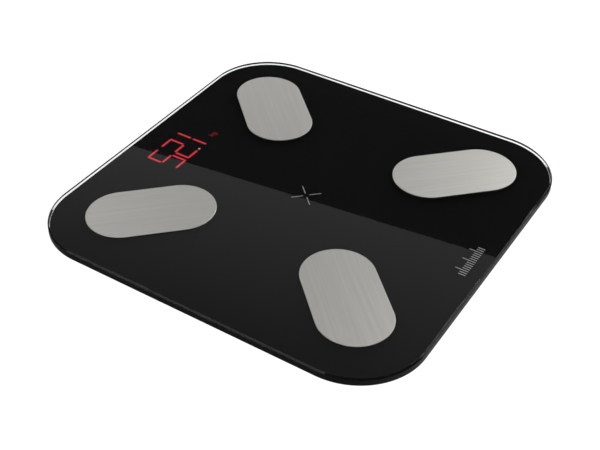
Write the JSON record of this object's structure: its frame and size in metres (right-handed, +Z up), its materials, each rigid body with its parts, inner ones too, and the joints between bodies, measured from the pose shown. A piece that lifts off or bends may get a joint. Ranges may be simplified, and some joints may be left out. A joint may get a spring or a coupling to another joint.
{
  "type": "digital bathroom scale",
  "caption": "Low square glass-topped bathroom scale with rounded corners, metal electrode pads, a lit read-out under the glass and sprung load-cell feet.",
  "frame": {"origin": "centre of the footprint on the standing surface, at the bottom of the foot rubbers", "axes": "+Z up, +Y towards the display edge, +X to the right of a person reading the display"},
  "size_m": [0.26, 0.26, 0.0246],
  "materials": {
    "glass": "polished toughened",
    "black_print": "screen-printed enamel",
    "foam_tape": "foam",
    "base_plastic": "fine moulded grain",
    "brushed_pad": "brushed lengthwise",
    "brass": "turned",
    "cell_steel": "stamped",
    "foot_rubber": "matt",
    "wire_cover": "extruded",
    "smoked_filter": "smoked",
    "white_plastic": "moulded",
    "circuit_board": "lacquered",
    "chip_plastic": "moulded",
    "battery_case": "wrapped can"
  },
  "bodies": {
    "scale_body": {"glass_platform": "glass", "back_print": "black_print", "glass_tape": "foam_tape", "base_shell": "base_plastic", "electrode_pad_toe_left": "brushed_pad", "contact_stud_toe_left": "brass", "load_cell_toe_left": "cell_steel", "cell_carrier_toe_left": "base_plastic", "electrode_lead_toe_left": "wire_cover", "load_cell_lead_toe_left": "wire_cover", "electrode_pad_toe_right": "brushed_pad", "contact_stud_toe_right": "brass", "load_cell_toe_right": "cell_steel", "cell_carrier_toe_right": "base_plastic", "electrode_lead_toe_right": "wire_cover", "load_cell_lead_toe_right": "wire_cover", "electrode_pad_heel_left": "brushed_pad", "contact_stud_heel_left": "brass", "load_cell_heel_left": "cell_steel", "cell_carrier_heel_left": "base_plastic", "electrode_lead_heel_left": "wire_cover", "load_cell_lead_heel_left": "wire_cover", "electrode_pad_heel_right": "brushed_pad", "contact_stud_heel_right": "brass", "load_cell_heel_right": "cell_steel", "cell_carrier_heel_right": "base_plastic", "electrode_lead_heel_right": "wire_cover", "load_cell_lead_heel_right": "wire_cover", "display_filter": "smoked_filter", "display_diffuser": "white_plastic", "segment_reflector": "white_plastic", "display_board": "circuit_board", "main_board": "circuit_board", "processor_chip": "chip_plastic", "tactile_switch": "chip_plastic", "radio_module": "cell_steel", "display_screw_1": "cell_steel", "display_screw_2": "cell_steel", "board_screw_1": "cell_steel", "board_screw_2": "cell_steel", "board_screw_3": "cell_steel", "battery_contacts_left": "cell_steel", "battery_contacts_right": "cell_steel", "battery_1": "battery_case", "battery_2": "battery_case", "battery_3": "battery_case", "battery_lead_left": "wire_cover", "battery_lead_right": "wire_cover", "display_ribbon": "wire_cover"},
    "foot_toe_left": {"foot_cap_toe_left": "base_plastic", "foot_rubber_toe_left": "foot_rubber"},
    "foot_toe_right": {"foot_cap_toe_right": "base_plastic", "foot_rubber_toe_right": "foot_rubber"},
    "foot_heel_left": {"foot_cap_heel_left": "base_plastic", "foot_rubber_heel_left": "foot_rubber"},
    "foot_heel_right": {"foot_cap_heel_right": "base_plastic", "foot_rubber_heel_right": "foot_rubber"},
    "door": {"battery_door": "base_plastic"},
    "button": {"unit_button": "base_plastic"}
  },
  "joints": [
    {"name": "foot_press_toe_left", "type": "slide", "parent": "scale_body", "child": "foot_toe_left", "axis": [0, 0, 1], "range_m": [0, 0.0005], "stiffness_N_per_m": 4000, "springref_m": -0.002, "deforming": ["load_cell_toe_left"]},
    {"name": "foot_press_toe_right", "type": "slide", "parent": "scale_body", "child": "foot_toe_right", "axis": [0, 0, 1], "range_m": [0, 0.0005], "stiffness_N_per_m": 4000, "springref_m": -0.002, "deforming": ["load_cell_toe_right"]},
    {"name": "foot_press_heel_left", "type": "slide", "parent": "scale_body", "child": "foot_heel_left", "axis": [0, 0, 1], "range_m": [0, 0.0005], "stiffness_N_per_m": 4000, "springref_m": -0.002, "deforming": ["load_cell_heel_left"]},
    {"name": "foot_press_heel_right", "type": "slide", "parent": "scale_body", "child": "foot_heel_right", "axis": [0, 0, 1], "range_m": [0, 0.0005], "stiffness_N_per_m": 4000, "springref_m": -0.002, "deforming": ["load_cell_heel_right"]},
    {"name": "battery_door_hinge", "type": "hinge", "parent": "scale_body", "child": "door", "pos_m": [0, -0.05945, 0.0044], "axis": [-1, 0, 0], "range_deg": [0, 70]},
    {"name": "unit_button_press", "type": "slide", "parent": "scale_body", "child": "button", "axis": [0, 0, 1], "range_m": [0, 0.0008], "stiffness_N_per_m": 600, "springref_m": -0.0008}
  ]
}
